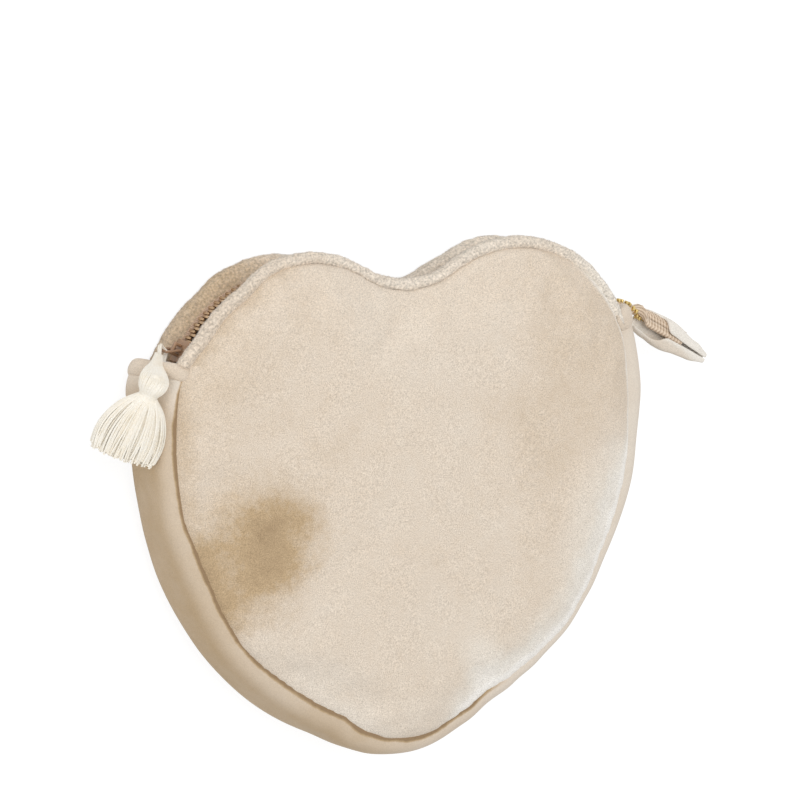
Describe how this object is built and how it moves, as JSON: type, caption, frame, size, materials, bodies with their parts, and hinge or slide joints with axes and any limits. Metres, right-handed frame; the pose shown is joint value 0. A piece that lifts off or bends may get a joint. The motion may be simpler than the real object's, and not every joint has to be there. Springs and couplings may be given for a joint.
{
  "type": "heart shaped purse",
  "caption": "Heart shaped velvet zip purse with padded front and back panels, a gusset round the sides, a zip along the lobes with a tassel pull, and a free zip tail with a velvet tab.",
  "frame": {"origin": "on the back panel's outer face, on the heart's centre line, half way between the tops of the lobes and the tip", "axes": "+Z out of the front panel (up as the purse lies on its back), +Y from the tip to the cleft, +X to the right seen from the front"},
  "size_m": [0.2779, 0.1945, 0.0369],
  "materials": {
    "velvet": "champagne beige velvet with a soft pile",
    "wadding": "white polyester wadding",
    "lining": "plain woven beige lining",
    "zip_tape": "woven brown-beige zip tape",
    "zip_metal": "bright brass",
    "thread": "polyester sewing thread",
    "cotton": "ivory cotton yarn"
  },
  "bodies": {
    "pouch": {"front_panel": "velvet", "back_panel": "velvet", "gusset": "velvet", "left_gusset_binding": "velvet", "right_gusset_binding": "velvet", "front_lip": "velvet", "back_lip": "velvet", "front_wadding": "wadding", "back_wadding": "wadding", "gusset_wadding": "wadding", "front_lining": "lining", "back_lining": "lining", "gusset_lining": "lining", "front_zip_tape": "zip_tape", "back_zip_tape": "zip_tape", "tail_root_tape": "zip_tape", "front_zip_teeth": "zip_metal", "back_zip_teeth": "zip_metal", "zip_top_stops": "zip_metal", "tail_root_teeth": "zip_metal", "left_bartack": "thread", "right_bartack": "thread"},
    "slider": {"slider_body": "zip_metal", "slider_bail": "zip_metal"},
    "pull": {"pull_ring": "zip_metal"},
    "tassel": {"tassel_loop": "cotton", "tassel_head": "cotton", "tassel_binding": "cotton", "tassel_skirt": "cotton"},
    "tail": {"tail_tape": "zip_tape", "tail_teeth": "zip_metal", "tail_bottom_stop": "zip_metal", "tail_tab": "velvet"}
  },
  "joints": [
    {"name": "slider_run", "type": "hinge", "parent": "pouch", "child": "slider", "pos_m": [-0.0464, 0.0405, 0.0155], "axis": [0, 0, -1], "range_deg": [0, 86], "deforming": ["front_zip_teeth", "back_zip_teeth"]},
    {"name": "pull_swing", "type": "hinge", "parent": "slider", "child": "pull", "pos_m": [-0.09219, 0.06483, 0.0155], "axis": [0, 0, -1], "range_deg": [0, 80]},
    {"name": "tassel_swing", "type": "hinge", "parent": "pull", "child": "tassel", "pos_m": [-0.09779, 0.06483, 0.0155], "axis": [0, 0, -1], "range_deg": [0, 45]},
    {"name": "tail_swing", "type": "hinge", "parent": "pouch", "child": "tail", "pos_m": [0.10874, 0.06414, 0.0155], "axis": [0, 0, 1], "range_deg": [-30, 40]}
  ]
}
